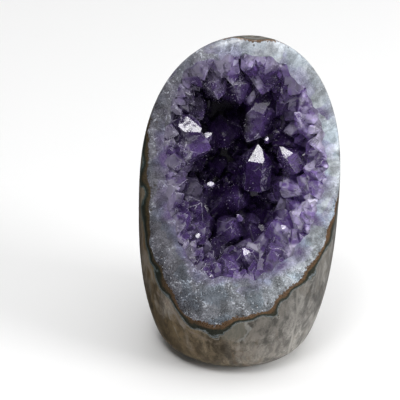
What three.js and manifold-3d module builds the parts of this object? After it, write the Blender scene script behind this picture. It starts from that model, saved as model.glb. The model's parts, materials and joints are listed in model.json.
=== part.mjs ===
// Amethyst druse, cut base. Millimetres, +Z up, the sloping polished front towards -Y, standing on Z = 0.
// Two materials lie one in the other: a cup of polished rock, and the quartz crust with its violet crystals.
import * as THREE from 'three';
import { mergeVertices } from 'three/addons/utils/BufferGeometryUtils.js';
import Module from 'manifold-3d';

const wasm = await Module();
wasm.setup();

// The whole stone: half sizes about its widest level
const HALF_LEFT = 39;
const HALF_RIGHT = 35.8;
const HALF_FRONT = 32;
const HALF_BACK = 33;
const CROWN = 66.8;
const FOOT = 79;
const WAIST = new THREE.Vector3(1.6, -1.71, 62.4);
const LEAN = 0.027;
const UPRIGHT_POWER = 2.5;

// The foot's edge is rounded off: how far up, and how much of its half size it loses at the very foot
const FOOT_ROUND = 8;
const FOOT_TUCK = 0.235;
const FOOT_STEPS = 4;
const FOOT_SEGMENTS = 30;
const FOOT_FLARE = 0.5;
const FOOT_CLEAR = 40;

// Where it was sawn and ground
const FACE_TILT = THREE.MathUtils.degToRad(66);
const FACE_REACH = 13;
const EDGE_POWER = 14;
const BLOCK = 200;
const SEARCH_STEPS = 40;
const NEAR_CENTRE = 1e-6;

// The front face's own axes: across, up the slope, and out of it
const ACROSS = new THREE.Vector3(1, 0, 0);
const UPSLOPE = new THREE.Vector3(0, Math.cos(FACE_TILT), Math.sin(FACE_TILT));
const OUTWARD = new THREE.Vector3(0, -Math.sin(FACE_TILT), Math.cos(FACE_TILT));
const FACE_FOOT = WAIST.clone().addScaledVector(OUTWARD, FACE_REACH);

// The quartz bed is an egg whose widest line lies on the face. Its half sizes are across, up and down the slope
// and in depth. With each millimetre of depth it drifts left and sinks down the slope. It is turned on the face
const BED = {
  across: 4, upslope: 37, half: 38, up: 24.4, down: 81, depth: 38,
  drift: 0.3, sink: 0.7, turn: 0.13, flatPower: 2.13, depthPower: 1.6,
};
const BED_MIDDLE = 8;
const BED_GAP = 0.35;

// The hollow in the same terms, as far out as the crystals' feet
const HOLLOW = {
  across: 0.8, upslope: 15, half: 30, up: 41, down: 41, depth: 28,
  drift: 0, sink: 0.3, turn: 0, flatPower: 2, depthPower: 2,
};

// Where the hollow's outline bulges or draws in: at what angle round the face, by how much, over what angle
const HOLLOW_BULGES = [
  { at: 2.15, by: 0.12, over: 0.3 },
  { at: -1.95, by: 0.085, over: 0.28 },
  { at: -0.95, by: -0.045, over: 0.55 },
  { at: 1.35, by: -0.04, over: 0.4 },
  { at: -2.95, by: -0.03, over: 0.25 },
];

// Mesh steps: rings in degrees from the way that the face looks, close together where the rim turns over
const STONE_SEGMENTS = 44;
const STONE_RINGS = [0, 52, 63, 66, 69, 72, 75, 78, 81, 85, 92, 102, 115, 130, 146, 163, 180];
const BED_SEGMENTS = 36;
const BED_RINGS = [0, 60, 84, 90, 94, 99, 106, 116, 130, 146, 163, 180];
const HOLLOW_SEGMENTS = 16;
const HOLLOW_RINGS = [0, 60, 90, 106, 122, 138, 154, 167, 180];

// The small and middling crystals, spread evenly over the hollow
const CRYSTAL_COUNT = 128;
const CRYSTAL_HALF_WIDTH = 4.8;
const CRYSTAL_SPREAD = 0.6;
const CRYSTAL_STRAY = 0.16;
const CRYSTAL_SLANT = 0.5;
const TIP_RISE = 1.1;
const ROOT = 4;
const RIM_OVERRUN = 1.08;
const GOLDEN_ANGLE = Math.PI * (3 - Math.sqrt(5));

// One crystal's form, as shares of its half width: its point's height, how far the tip strays, its shoulders
const POINT_HEIGHT = 1.1;
const TIP_STRAY = 0.22;
const SHOULDER_STEP = 0.3;

// The crystals that stand out, named by where their tip is: across, upslope and depth below the face, the way
// they point in the same axes, their half width, and their length from the tip
const MAIN_CRYSTALS = [
  { tip: [-2, 36, 8], points: [0.05, -0.8, 0.35], half: 5.6, long: 16 },
  { tip: [-10, 40, 6], points: [0.2, -0.75, 0.35], half: 5, long: 14 },
  { tip: [6, 42, 5], points: [-0.1, -0.8, 0.4], half: 4.6, long: 12 },
  { tip: [4, 25, 10], points: [-0.35, -0.7, 0.4], half: 7, long: 19 },
  { tip: [-19, 39, 4], points: [0.7, -0.5, 0.3], half: 4.6, long: 12 },
  { tip: [-19, 29, 6], points: [0.75, -0.1, 0.5], half: 5.2, long: 12 },
  { tip: [-13, 21, 8], points: [0.9, -0.1, 0.3], half: 6.6, long: 17 },
  { tip: [4, 21, 14], points: [-0.1, 0.15, 0.9], half: 5.6, long: 15 },
  { tip: [15, 18, 9], points: [-0.6, 0, 0.7], half: 5, long: 14 },
  { tip: [19, 35, 4], points: [-0.5, 0.5, 0.3], half: 4.2, long: 15 },
  { tip: [23, 14, 4], points: [-0.8, 0.2, 0.45], half: 4.2, long: 10 },
  { tip: [-14, -9, 8], points: [0.5, 0.45, 0.7], half: 5.6, long: 13 },
  { tip: [19, -3, 5], points: [-0.7, 0.3, 0.5], half: 7.2, long: 15 },
  { tip: [12, -8, 10], points: [-0.3, 0.5, 0.7], half: 5.6, long: 14 },
  { tip: [15, 7, 9], points: [-0.6, 0.1, 0.75], half: 4.8, long: 13 },
  { tip: [1, -18, 7], points: [0, 0.55, 0.8], half: 4.8, long: 12 },
  { tip: [-4, -9, 13], points: [0.1, 0.4, 0.85], half: 4.8, long: 13 },
  { tip: [-2, 2, 16], points: [0.1, 0.2, 0.95], half: 5, long: 13 },
  { tip: [-5, -23, 1], points: [-0.05, 0.3, 0.95], half: 4.2, long: 11 },
];

// A repeatable number from 0 to 1 for crystal i and trait k
function chance(i, k) {
  const wave = Math.sin(i * 12.9898 + k * 78.233) * 43758.5453;
  return wave - Math.floor(wave);
}

// How far out a point lies: under 1 in the stone, 1 on its ground surface, more outside
function stoneLevel(point) {
  const v = point.clone().sub(WAIST);
  const across = v.x - LEAN * v.z;
  const side = across / (across < 0 ? HALF_LEFT : HALF_RIGHT);
  const plan = Math.hypot(side, v.y / (v.y < 0 ? HALF_FRONT : HALF_BACK));
  const rise = Math.abs(v.z) / (v.z > 0 ? CROWN : FOOT);
  const dome = (plan ** UPRIGHT_POWER + rise ** UPRIGHT_POWER) ** (1 / UPRIGHT_POWER);
  const face = Math.max(0, v.dot(OUTWARD) / FACE_REACH);
  return (dome ** EDGE_POWER + face ** EDGE_POWER) ** (1 / EDGE_POWER);
}

function onFace(across, upslope, depth) {
  return FACE_FOOT.clone()
    .addScaledVector(ACROSS, across)
    .addScaledVector(UPSLOPE, upslope)
    .addScaledVector(OUTWARD, -depth);
}

// The same for a point and one of the two eggs
function eggLevel(point, egg) {
  const v = point.clone().sub(onFace(egg.across, egg.upslope, 0));
  const depth = -v.dot(OUTWARD);
  const across = v.dot(ACROSS) + egg.drift * depth;
  const upslope = v.dot(UPSLOPE) + egg.sink * depth;
  const x = Math.abs(across * Math.cos(egg.turn) - upslope * Math.sin(egg.turn)) / egg.half;
  const turned = across * Math.sin(egg.turn) + upslope * Math.cos(egg.turn);
  const s = Math.abs(turned) / (turned > 0 ? egg.up : egg.down);
  const flat = (x ** egg.flatPower + s ** egg.flatPower) ** (1 / egg.flatPower);
  return (flat ** egg.depthPower + Math.abs(depth / egg.depth) ** egg.depthPower) ** (1 / egg.depthPower);
}

// The hollow's size at an angle round the face, as a share of its egg's. The bulges fade out with share, which
// falls from 1 at the face to 0 at the hollow's deepest point
function hollowSwell(around, share) {
  return HOLLOW_BULGES.reduce((swell, { at, by, over }) => {
    const away = Math.atan2(Math.sin(around - at), Math.cos(around - at));
    return swell + share * by * Math.exp(-((away / over) ** 2));
  }, 1);
}

function hollowLevel(point) {
  const v = point.clone().sub(onFace(HOLLOW.across, HOLLOW.upslope, 0));
  const across = v.dot(ACROSS);
  const upslope = v.dot(UPSLOPE);
  const share = Math.hypot(across, upslope) / Math.max(v.length(), NEAR_CENTRE);
  return eggLevel(point, HOLLOW) / hollowSwell(Math.atan2(upslope, across), share);
}

// The bed's outline swells and draws in by a millimetre or so on its way round the face
function bedLevel(point) {
  const v = point.clone().sub(onFace(0, BED_MIDDLE, 0));
  const around = Math.atan2(v.dot(UPSLOPE), v.dot(ACROSS));
  return eggLevel(point, BED) / (1 + 0.018 * Math.sin(3 * around + 2.4) + 0.012 * Math.sin(7 * around + 0.6));
}

// How far the surface where level is 1 lies from a centre inside it
function reachTo(level, centre, way) {
  let inside = 0;
  let outside = BLOCK;
  for (let i = 0; i < SEARCH_STEPS; i += 1) {
    const middle = (inside + outside) / 2;
    if (level(centre.clone().addScaledVector(way, middle)) < 1) {
      inside = middle;
    } else {
      outside = middle;
    }
  }
  return inside;
}

// A unit ball turned about the way that the face looks, whose points are then moved out to the surface
function blob(segments, rings, centre, level, gap = 0) {
  const profile = [...rings].reverse().map((degrees) => {
    const polar = THREE.MathUtils.degToRad(degrees);
    return new THREE.Vector2(degrees % 180 === 0 ? 0 : Math.sin(polar), Math.cos(polar));
  });
  const ball = new THREE.LatheGeometry(profile, segments);
  ball.applyQuaternion(new THREE.Quaternion().setFromUnitVectors(new THREE.Vector3(0, 1, 0), OUTWARD));
  return moved(ball, (v) => {
    const way = v.clone().normalize();
    return way.multiplyScalar(reachTo(level, centre, way) - gap).add(centre);
  });
}

function moved(geometry, place) {
  const points = geometry.attributes.position;
  const v = new THREE.Vector3();
  for (let i = 0; i < points.count; i += 1) {
    v.fromBufferAttribute(points, i);
    const w = place(v);
    points.setXYZ(i, w.x, w.y, w.z);
  }
  return geometry;
}

function solid(geometry) {
  geometry.deleteAttribute('normal');
  geometry.deleteAttribute('uv');
  const merged = mergeVertices(geometry, 1e-4);
  const vertProperties = new Float32Array(merged.attributes.position.array);
  const triVerts = new Uint32Array(merged.index.array);
  return new wasm.Manifold(new wasm.Mesh({ numProp: 3, vertProperties, triVerts }));
}

// A pointed hexagonal crystal: its tip stands off the axis, and its shoulders at unequal heights
function crystal(tip, points, half, long, seed) {
  const point = half * POINT_HEIGHT;
  const profile = [[0, -long], [half, -long], [half, -point], [0, 0]];
  const shape = new THREE.LatheGeometry(profile.map(([r, h]) => new THREE.Vector2(r, h)), 6);
  const across = half * TIP_STRAY * (chance(seed, 1) - 0.5);
  const along = half * TIP_STRAY * (chance(seed, 2) - 0.5);
  moved(shape, (v) => {
    const atTip = v.y > -1e-6;
    const atShoulder = Math.abs(v.y + point) < 1e-6;
    const side = Math.round(Math.atan2(v.z, v.x) / (Math.PI / 3));
    if (atTip) v.set(across, 0, along);
    if (atShoulder) v.y += half * SHOULDER_STEP * Math.cos(side * Math.PI + chance(seed, 3));
    return v;
  });
  const turn = new THREE.Quaternion().setFromUnitVectors(new THREE.Vector3(0, 1, 0), points);
  const spin = new THREE.Quaternion().setFromAxisAngle(new THREE.Vector3(0, 1, 0), chance(seed, 4) * Math.PI);
  shape.applyQuaternion(turn.multiply(spin));
  shape.translate(tip.x, tip.y, tip.z);
  return solid(shape);
}

function inFaceAxes([across, upslope, outward]) {
  return new THREE.Vector3()
    .addScaledVector(ACROSS, across)
    .addScaledVector(UPSLOPE, upslope)
    .addScaledVector(OUTWARD, outward)
    .normalize();
}

function mainCrystals() {
  return MAIN_CRYSTALS.map(({ tip, points, half, long }, i) =>
    crystal(onFace(...tip), inFaceAxes(points), half, long, CRYSTAL_COUNT + i));
}

// Crystals on a golden-angle spiral from the hollow's depth to its rim, each pointing into the hollow
function spreadCrystals() {
  const centre = onFace(HOLLOW.across, HOLLOW.upslope, 0);
  const list = [];
  for (let i = 0; i < CRYSTAL_COUNT; i += 1) {
    const height = 1 - ((i + 0.5) / CRYSTAL_COUNT) * RIM_OVERRUN;
    const ring = Math.sqrt(Math.max(0, 1 - height * height));
    const around = i * GOLDEN_ANGLE + CRYSTAL_STRAY * (chance(i, 5) - 0.5);
    const across = Math.cos(around) * HOLLOW.half;
    const upslope = Math.sin(around) * HOLLOW.up;
    const size = ring * hollowSwell(Math.atan2(upslope, across), ring);
    const way = new THREE.Vector3()
      .addScaledVector(ACROSS, size * across)
      .addScaledVector(UPSLOPE, size * upslope - HOLLOW.sink * height * HOLLOW.depth)
      .addScaledVector(OUTWARD, -height * HOLLOW.depth);
    const foot = centre.clone().add(way);
    const inward = way.clone().negate().normalize();
    inward.x += CRYSTAL_SLANT * (chance(i, 6) - 0.5);
    inward.y += CRYSTAL_SLANT * (chance(i, 7) - 0.5);
    inward.z += CRYSTAL_SLANT * (chance(i, 8) - 0.5);
    inward.normalize();
    const half = CRYSTAL_HALF_WIDTH * (1 + CRYSTAL_SPREAD * (chance(i, 9) - 0.5));
    const rise = TIP_RISE * half;
    const tip = foot.clone().addScaledVector(inward, rise);
    list.push(crystal(tip, inward, half, rise + ROOT, i));
  }
  return list;
}

// Only the outermost shell is kept, so that no bubble stays sealed between crystals
function largestShell(mesh) {
  const parent = Array.from({ length: mesh.numVert }, (_, i) => i);
  const root = (i) => {
    while (parent[i] !== i) {
      parent[i] = parent[parent[i]];
      i = parent[i];
    }
    return i;
  };
  for (let t = 0; t < mesh.numTri; t += 1) {
    const [a, b, c] = mesh.verts(t);
    parent[root(a)] = root(b);
    parent[root(b)] = root(c);
  }
  const size = new Map();
  for (let t = 0; t < mesh.numTri; t += 1) {
    const r = root(mesh.verts(t)[0]);
    size.set(r, (size.get(r) ?? 0) + 1);
  }
  const largest = [...size].sort((a, b) => b[1] - a[1])[0][0];
  const index = [];
  for (let t = 0; t < mesh.numTri; t += 1) {
    const corners = mesh.verts(t);
    if (root(corners[0]) === largest) index.push(...corners);
  }
  const geometry = new THREE.BufferGeometry();
  geometry.setAttribute('position', new THREE.BufferAttribute(new Float32Array(mesh.vertProperties), 3));
  geometry.setIndex(index);
  return geometry;
}

function piece(name, body, material) {
  const mesh = new THREE.Mesh(largestShell(body.getMesh()), material);
  mesh.name = name;
  return mesh;
}

// A dish with the foot's rounded edge, flat where the stone was sawn, that opens out clear of the stone above
function footDish() {
  const share = (height) => (1 - ((WAIST.z - height) / FOOT) ** UPRIGHT_POWER) ** (1 / UPRIGHT_POWER);
  const profile = [new THREE.Vector2(0, 0)];
  for (let i = 0; i <= FOOT_STEPS; i += 1) {
    const turn = (i / FOOT_STEPS) * Math.PI / 2;
    const height = FOOT_ROUND * (1 - Math.cos(turn));
    profile.push(new THREE.Vector2(share(height) * (1 - FOOT_TUCK * (1 - Math.sin(turn))), height));
  }
  profile.push(new THREE.Vector2(share(FOOT_ROUND) + FOOT_FLARE, FOOT_ROUND + FOOT_CLEAR));
  profile.push(new THREE.Vector2(share(FOOT_ROUND) + FOOT_FLARE, BLOCK));
  profile.push(new THREE.Vector2(0, BLOCK));
  const dish = new THREE.LatheGeometry(profile, FOOT_SEGMENTS);
  dish.rotateX(Math.PI / 2);
  dish.scale((HALF_LEFT + HALF_RIGHT) / 2, (HALF_FRONT + HALF_BACK) / 2, 1);
  const middle = WAIST.x - LEAN * WAIST.z + (HALF_RIGHT - HALF_LEFT) / 2;
  dish.translate(middle, WAIST.y + (HALF_BACK - HALF_FRONT) / 2, 0);
  return solid(dish);
}

function wholeStone() {
  return solid(blob(STONE_SEGMENTS, STONE_RINGS, WAIST, stoneLevel)).intersect(footDish());
}

function bed(gap) {
  return solid(blob(BED_SEGMENTS, BED_RINGS, onFace(0, BED_MIDDLE, 0), bedLevel, gap));
}

function hollow() {
  const centre = onFace(HOLLOW.across, HOLLOW.upslope, 0);
  return solid(blob(HOLLOW_SEGMENTS, HOLLOW_RINGS, centre, hollowLevel));
}

const stone = wholeStone();
const rockCup = stone.subtract(bed(0));
const quartzBed = stone.intersect(bed(BED_GAP));
const crystals = [...mainCrystals(), ...spreadCrystals()].reduce((all, one) => all.add(one));
const crust = quartzBed.subtract(hollow()).add(crystals.intersect(quartzBed));

const rockMaterial = new THREE.MeshStandardMaterial({ color: 0x7d7462, roughness: 0.3, metalness: 0 });
const crustMaterial = new THREE.MeshStandardMaterial({ color: 0x6d5a9c, roughness: 0.12, metalness: 0 });

const druse = new THREE.Group();
druse.add(piece('stone_body', rockCup, rockMaterial));
druse.add(piece('crystal_crust', crust, crustMaterial));

export default druse;
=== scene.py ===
import json
import math

import bmesh
import bpy
import mathutils
import numpy as np
from mathutils import Matrix, Vector

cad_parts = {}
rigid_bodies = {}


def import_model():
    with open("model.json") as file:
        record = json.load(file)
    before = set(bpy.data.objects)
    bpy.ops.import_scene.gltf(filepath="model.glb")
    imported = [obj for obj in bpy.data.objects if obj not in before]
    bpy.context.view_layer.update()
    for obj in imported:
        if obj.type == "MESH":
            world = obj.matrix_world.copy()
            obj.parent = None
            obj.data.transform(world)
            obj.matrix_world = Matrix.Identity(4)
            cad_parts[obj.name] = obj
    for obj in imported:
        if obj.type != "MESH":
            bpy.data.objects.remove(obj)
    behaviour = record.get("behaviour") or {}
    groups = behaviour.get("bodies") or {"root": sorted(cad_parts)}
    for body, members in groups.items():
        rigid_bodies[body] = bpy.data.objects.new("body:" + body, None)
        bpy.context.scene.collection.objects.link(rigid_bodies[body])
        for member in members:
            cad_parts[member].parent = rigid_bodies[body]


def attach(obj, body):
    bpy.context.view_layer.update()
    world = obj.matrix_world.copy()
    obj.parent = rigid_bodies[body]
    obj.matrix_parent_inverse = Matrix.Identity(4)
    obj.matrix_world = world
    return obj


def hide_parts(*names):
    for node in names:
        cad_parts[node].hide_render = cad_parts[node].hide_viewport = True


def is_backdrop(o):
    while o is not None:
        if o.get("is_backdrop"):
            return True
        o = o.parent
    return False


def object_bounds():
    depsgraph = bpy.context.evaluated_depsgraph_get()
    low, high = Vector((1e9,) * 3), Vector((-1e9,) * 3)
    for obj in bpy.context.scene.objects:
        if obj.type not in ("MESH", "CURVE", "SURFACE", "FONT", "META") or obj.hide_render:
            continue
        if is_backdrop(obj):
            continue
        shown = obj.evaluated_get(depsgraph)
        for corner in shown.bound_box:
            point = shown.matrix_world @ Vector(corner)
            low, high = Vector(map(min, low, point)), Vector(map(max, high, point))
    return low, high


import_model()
cad_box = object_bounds()

# The whole stone: half sizes about its widest level
HALF_LEFT = 0.039
HALF_RIGHT = 0.0358
HALF_FRONT = 0.032
HALF_BACK = 0.033
CROWN = 0.0668
FOOT = 0.079
WAIST = np.array((0.0016, -0.00171, 0.0624))
LEAN = 0.027
UPRIGHT_POWER = 2.5
BASE_BEVEL = 0.0007
SHARP_FROM = math.radians(35)

# The foot's edge is rounded off: how far up, and how much of its half size it loses at the very foot
FOOT_ROUND = 0.008
FOOT_TUCK = 0.235

# Where it was ground: the face's slope, its distance from the waist, how sharp its edge was left, and how far
# below it the cut crystals lie
FACE_TILT = math.radians(66)
FACE_REACH = 0.013
EDGE_POWER = 14
FACE_SINK = 0.00005

# How a surface is found: the furthest it can be, halvings of the way, the step that measures its slope, and
# how often the ball that is moved out to it is subdivided
SEARCH_REACH = 0.2
SEARCH_STEPS = 40
PROBE_STEP = 1e-5
NEARLY_ZERO = 1e-9
FINE_BALL = 7
PLAIN_BALL = 6

# The front face's own axes: across, up the slope, and out of it
ACROSS = np.array((1.0, 0.0, 0.0))
UPSLOPE = np.array((0.0, math.cos(FACE_TILT), math.sin(FACE_TILT)))
OUTWARD = np.array((0.0, -math.sin(FACE_TILT), math.cos(FACE_TILT)))
FACE_FOOT = WAIST + FACE_REACH * OUTWARD

# The quartz bed and the hollow are eggs whose widest line lies on the face
BED = dict(across=0.004, upslope=0.037, half=0.038, up=0.0244, down=0.081, depth=0.038,
           drift=0.3, sink=0.7, turn=0.13, flat_power=2.13, depth_power=1.6)
BED_MIDDLE = 0.008
HOLLOW = dict(across=0.0008, upslope=0.015, half=0.03, up=0.041, down=0.041, depth=0.028,
              drift=0.0, sink=0.3, turn=0.0, flat_power=2.0, depth_power=2.0)

# Where the hollow's outline bulges or draws in: at what angle round the face, by how much, over what angle
HOLLOW_BULGES = [
    (2.15, 0.12, 0.3),
    (-1.95, 0.085, 0.28),
    (-0.95, -0.045, 0.55),
    (1.35, -0.01, 0.4),
    (-2.95, -0.03, 0.25),
]

# Where the bed's edge bulges: place on the face, how much of its reach, how wide
BED_BULGES = [
    ((-0.022, -0.044), 0.05, 0.009),
    ((0.021, 0.055), 0.12, 0.012),
    ((-0.018, 0.057), 0.06, 0.009),
    ((0.0032, -0.0412), -0.018, 0.008),
    ((0.0125, -0.039), 0.016, 0.006),
    ((0.0144, 0.0592), 0.1, 0.007),
    ((-0.0075, 0.06), 0.08, 0.006),
]

# Waves in outlines: height as a share of the size, count, phase, and how far and how often the wave strays
BED_WAVES = [(0.018, 3, 2.4, 0, 0), (0.012, 7, 0.6, 0, 0)]
BED_RIPPLES = [(0.007, 17, 0.5, 0, 0), (0.005, 31, 0, 2, 5)]
WALL_LUMPS = [
    (0.012, 5, 1.0, 0, 0),
    (0.012, 9, 2.0, 0, 0),
    (0.012, 16, 0, 0, 0),
    (0.014, 29, 0, 2, 4),
    (0.01, 47, 1.0, 0, 0),
]

# How far out the crystals' roots reach, into the quartz behind the hollow's wall
ROOTS = dict(HOLLOW, half=0.0335, up=0.0445, down=0.0445, depth=0.0315)

# The wall behind the crystals opens out towards the face: by how much of its size, and from how deep
FLARE = 0.01
FLARE_DEPTH = 0.0025

# On the right it is drawn in: by how much of its size, and over how wide an angle
DRAWN_IN = 0.035
DRAWN_IN_SPREAD = 0.6

# Crystals spread evenly over the hollow. Near the rim none is wider than its foot is deep, but for CUT_BY
GOLDEN_ANGLE = math.pi * (3 - math.sqrt(5))
SPREAD_COUNT = 128
SPREAD_HALF = 0.005
SPREAD_RANGE = 0.8
SPREAD_STRAY = 0.16
SPREAD_SLANT = 0.5
SPREAD_SINK = 0.95
CUT_BY = 0.001
TIP_RISE = 1.1
ROOT = 0.004

# Crystals round the rim, numbered from RIM_FIRST, so that their chances are their own. SUNK and RISE are the
# least share of their half width, and how much more at most
RIM_FIRST = 2000
RIM_COUNT = 90
RIM_HALF = (0.0013, 0.004)
RIM_STRAY = 0.7
RIM_LEAN = 0.7
RIM_SUNK = (0.85, 0.8)
RIM_RISE = (0.7, 1.2)

# Smaller crystals round each named one, their sizes and places as shares of its half width
SATELLITE_FIRST = 3000
SATELLITES = 4
SATELLITE_HALF = (0.2, 0.42)
SATELLITE_REACH = (0.5, 1.05)
SATELLITE_STRAY = 0.6
SATELLITE_SLANT = 0.5
SATELLITE_DROP = 0.6
SATELLITE_LENGTH = 3
NEARLY_PARALLEL = 0.8

# Small crystals in the gaps
SMALL_FIRST = 1000
SMALL_COUNT = 420
SMALL_HALF = (0.0009, 0.003)
SMALL_RISE = (0.0005, 0.0045)
SMALL_STRAY = 0.4
SMALL_SLANT = 1.0

# One crystal's form, as shares of its half width
POINT_HEIGHT = 1.1
POINT_SLOPE = math.radians(51.8)
POINT_STEP = 0.14
POINT_UNEVEN = 0.3
PRISM_UNEVEN = 0.5
WORN_EDGE = 0.032

# Tiny quartz grains strewn in patches over the crystals, and a share of them between the patches
GRAIN_SEED = 5
GRAIN_COUNT = 1900
GRAIN_DRAWS = 8
GRAIN_HALF = (0.0001, 0.00026)
GRAIN_SIDES = 5
GRAIN_LENGTH = 2.4
GRAIN_TOP = 0.15
GRAIN_TILT = 1.2
GRAIN_DEPTH = 0.0008
GRAIN_PATCH = 0.007
GRAIN_CROWD = 0.12
GRAIN_SHARE = 0.05

# The named crystals: the tip's place across, up the slope and below the face; the way it points, by the
# face's axes; half width; length; paleness
MAIN_CRYSTALS = [
    ((-0.002, 0.039, 0.008), (0.05, -0.8, 0.35), 0.0056, 0.016, -0.5),
    ((-0.01, 0.04, 0.006), (0.2, -0.75, 0.35), 0.005, 0.014, -0.2),
    ((0.006, 0.042, 0.005), (-0.1, -0.8, 0.4), 0.0046, 0.012, 0.3),
    ((0.0015, 0.025, 0.01), (-0.35, -0.7, 0.4), 0.007, 0.019, -0.5),
    ((-0.019, 0.039, 0.004), (0.7, -0.5, 0.3), 0.0046, 0.012, -0.4),
    ((-0.019, 0.029, 0.006), (0.75, -0.1, 0.5), 0.0052, 0.012, -0.4),
    ((-0.013, 0.021, 0.008), (0.9, -0.1, 0.3), 0.0066, 0.017, 0.5),
    ((0.019, 0.035, 0.004), (-0.5, 0.5, 0.3), 0.0042, 0.015, 0.4),
    ((0.023, 0.014, 0.004), (-0.8, 0.2, 0.45), 0.0042, 0.01, 0.1),
    ((-0.014, -0.009, 0.008), (0.5, 0.45, 0.7), 0.0056, 0.013, 0.4),
    ((0.019, -0.003, 0.005), (-0.7, 0.3, 0.5), 0.0072, 0.015, 0.7),
    ((0.012, -0.008, 0.01), (-0.3, 0.5, 0.7), 0.0056, 0.014, 0.3),
    ((0.015, 0.007, 0.009), (-0.6, 0.1, 0.75), 0.0048, 0.013, 0.9),
    ((0.001, -0.018, 0.007), (0, 0.55, 0.8), 0.0056, 0.012, -0.5),
    ((-0.004, -0.009, 0.013), (0.1, 0.4, 0.85), 0.0052, 0.013, 0.2),
    ((-0.002, 0.002, 0.016), (0.1, 0.2, 0.95), 0.005, 0.013, 0.1),
    ((-0.005, -0.0225, 0.001), (-0.05, 0.3, 0.95), 0.005, 0.011, -0.7),
    ((-0.0115, -0.0215, 0.0012), (0.1, 0.5, 0.8), 0.0034, 0.01, -0.3),
    ((0.0112, -0.0165, 0.0015), (-0.3, 0.4, 0.8), 0.005, 0.012, -0.6),
]

# Faces that mirror the key light: the face's middle, the way its crystal leans, half width, paleness
GLINTS = [
    ((-0.0203, 0.0293, 0.0035), (0.9, -0.4, 0), 0.0045, 0.2),
    ((-0.0135, 0.0255, 0.01), (0.7, 0.3, 0), 0.0018, 0.0),
    ((0.004, 0.016, 0.009), (0.1, 1.0, 0), 0.0062, -1.2),
    ((0.0165, 0.0192, 0.006), (-0.6, 0.8, 0), 0.0042, -1.6),
    ((-0.0122, 0.0072, 0.012), (0.8, 0.1, 0), 0.0015, 0.0),
    ((0.0023, -0.0176, 0.004), (-0.5, 0.8, 0), 0.0028, 0.1),
    ((0.0087, 0.0245, 0.01), (0.3, 0.9, 0), 0.0009, 0.0),
    ((-0.0165, -0.0115, 0.0055), (0.5, 0.7, 0), 0.0013, 0.3),
    ((-0.0013, -0.0052, 0.0125), (-0.4, 0.6, 0), 0.0011, 0.2),
    ((0.0153, -0.008, 0.007), (-0.5, 0.5, 0), 0.0011, 0.4),
]
GLINT_FIRST = 4000
GLINT_LENGTH = 2.5
GLINT_FROM_TIP = 0.9
GLINT_CLEAR = 0.7

# A pocket high on the left, painted dark as shade, where only low crystals, their tone darkened as painted
# shade, cover the wall
POCKET_PLACE = (-0.008, 0.031, 0.0145)
POCKET_CLEAR = 0.0085
POCKET_RISE = 0.75
POCKET_SHADED_PALENESS = -1.2

# Low in the hollow stand large crystals alone, with no small ones over them
LOW_PLACE = (0.005, -0.0165, 0.004)
LOW_CLEAR = 0.012

# Where the key light stands. A face that nearly mirrors it has its crystal turned aside, but for tiny ones
KEY_LIGHT = (-0.15, -0.35, 0.95)
MIRRORS_WITHIN = math.radians(5)
TURNED_ASIDE = math.radians(17)
TINY = 0.0013

# The camera is level across and looks down on the front. Its axis meets the frame right of the middle
PHOTO_SIZE = 400
PHOTO_AXIS = (242.7, 201.4)
LOOK_AT = Vector((0.0016, -0.00471, 0.06465))
LOOK_DOWN = math.radians(32.18)
CAMERA_REACH = 0.6
METRES_PER_PIXEL = 0.000373
SENSOR = 36
CLIP_START = 0.01
TO_CAMERA = np.array((0.0, -math.cos(LOOK_DOWN), math.sin(LOOK_DOWN)))
TO_KEY = (Vector(KEY_LIGHT) - LOOK_AT).normalized()
MIRROR = (Vector(TO_CAMERA) + TO_KEY).normalized()


def chance(i, k):
    """A repeatable number from 0 to 1 for crystal i and trait k."""
    wave = math.sin(i * 12.9898 + k * 78.233) * 43758.5453
    return wave - math.floor(wave)


def chances(i, k):
    """Three of them, for the traits from k on."""
    return np.array([chance(i, k), chance(i, k + 1), chance(i, k + 2)])


def part_way(span, share):
    return span[0] + (span[1] - span[0]) * share


def unit(way):
    return way / np.linalg.norm(way)


def stone_level(points):
    """Under 1 in the stone, 1 on its ground surface, more outside."""
    v = points - WAIST
    across = v[:, 0] - LEAN * v[:, 2]
    side = across / np.where(across < 0, HALF_LEFT, HALF_RIGHT)
    fore = v[:, 1] / np.where(v[:, 1] < 0, HALF_FRONT, HALF_BACK)
    rise = np.abs(v[:, 2]) / np.where(v[:, 2] > 0, CROWN, FOOT)
    rounding = np.clip(1 - points[:, 2] / FOOT_ROUND, 0, 1)
    plan = np.hypot(side, fore) / (1 - FOOT_TUCK * (1 - np.sqrt(1 - rounding ** 2)))
    dome = (plan ** UPRIGHT_POWER + rise ** UPRIGHT_POWER) ** (1 / UPRIGHT_POWER)
    face = np.maximum(0, v @ OUTWARD / FACE_REACH)
    return (dome ** EDGE_POWER + face ** EDGE_POWER) ** (1 / EDGE_POWER)


def on_face(across, upslope, depth):
    return FACE_FOOT + across * ACROSS + upslope * UPSLOPE - depth * OUTWARD


def middle_of(egg):
    return on_face(egg["across"], egg["upslope"], 0)


def egg_level(points, egg):
    v = points - middle_of(egg)
    depth = -(v @ OUTWARD)
    across = v @ ACROSS + egg["drift"] * depth
    upslope = v @ UPSLOPE + egg["sink"] * depth
    turn = egg["turn"]
    side = np.abs(across * math.cos(turn) - upslope * math.sin(turn)) / egg["half"]
    along = across * math.sin(turn) + upslope * math.cos(turn)
    along = np.abs(along) / np.where(along > 0, egg["up"], egg["down"])
    flat = (side ** egg["flat_power"] + along ** egg["flat_power"]) ** (1 / egg["flat_power"])
    deep = np.abs(depth / egg["depth"])
    return (flat ** egg["depth_power"] + deep ** egg["depth_power"]) ** (1 / egg["depth_power"])


def add_waves(size, around, waves):
    for height, count, phase, stray, strays in waves:
        size = size + height * np.sin(count * around + phase + stray * np.sin(strays * around))
    return size


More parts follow.
